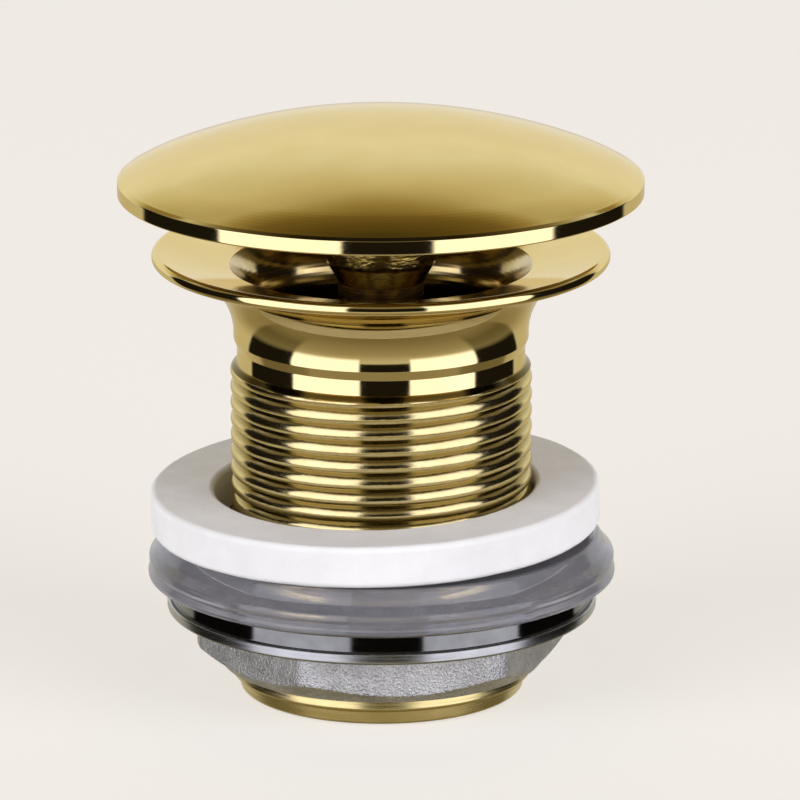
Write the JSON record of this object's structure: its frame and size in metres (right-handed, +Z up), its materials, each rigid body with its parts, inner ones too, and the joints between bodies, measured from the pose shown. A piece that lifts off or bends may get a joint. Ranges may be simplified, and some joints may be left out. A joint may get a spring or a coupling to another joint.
{
  "type": "pop up basin waste",
  "caption": "Round basin drain with a dished flange, threaded tail and domed push plug on a click cartridge, clamped by a foam washer, sealing washer and flanged back nut.",
  "frame": {"origin": "centre of the tail's end face, on the drain axis, which is the lowest point of the part", "axes": "+Z up along the drain axis towards the plug, -Y towards the front of the picture, +X to its right"},
  "size_m": [0.0728, 0.0728, 0.0813],
  "materials": {
    "gold_plate": "mirror polished gold coating on brass",
    "plain_brass": "turned brass",
    "nickel_cast": "nickel plated, grainy cast hexagon and turned collar",
    "steel": "bright stainless steel",
    "black_rubber": "matt black rubber",
    "clear_rubber": "translucent grey soft plastic",
    "foam": "white closed cell foam",
    "acetal": "natural moulded acetal",
    "fibre": "red vulcanised fibre"
  },
  "bodies": {
    "drain": {"waste_body": "gold_plate", "click_barrel": "plain_brass", "barrel_washer": "fibre", "cam_pins": "steel", "spring_guide": "acetal", "return_spring": "steel"},
    "plug": {"dome_cap": "gold_plate", "plug_seal": "black_rubber", "plunger": "plain_brass", "wiper_ring": "black_rubber", "rotor_clip": "steel"},
    "rotor": {"cam_rotor": "acetal"},
    "washer": {"seal_washer": "clear_rubber"},
    "nut": {"back_nut": "nickel_cast"},
    "foam": {"foam_washer": "foam"}
  },
  "joints": [
    {"name": "plug_press", "type": "slide", "parent": "drain", "child": "plug", "axis": [0, 0, -1], "range_m": [0, 0.0074], "stiffness_N_per_m": 900, "springref_m": -0.01, "deforming": ["return_spring"]},
    {"name": "rotor_turn", "type": "hinge", "parent": "plug", "child": "rotor", "pos_m": [0, 0, 0.037], "axis": [0, 0, 1], "range_deg": [-45.5, 0]},
    {"name": "washer_rise", "type": "slide", "parent": "drain", "child": "washer", "axis": [0, 0, 1], "range_m": [0, 0.0139]},
    {"name": "nut_turn", "type": "hinge", "parent": "washer", "child": "nut", "pos_m": [0, 0, 0.01], "axis": [0, 0, 1], "range_deg": [0, 2160]},
    {"name": "foam_lift", "type": "slide", "parent": "washer", "child": "foam", "axis": [0, 0, 1], "range_m": [0, 0.0108]}
  ],
  "couplings": [
    {"joint": "rotor_turn", "follows": "plug_press", "rad_per_m": -106.13},
    {"joint": "washer_rise", "follows": "nut_turn", "m_per_rad": 0.00036749}
  ]
}
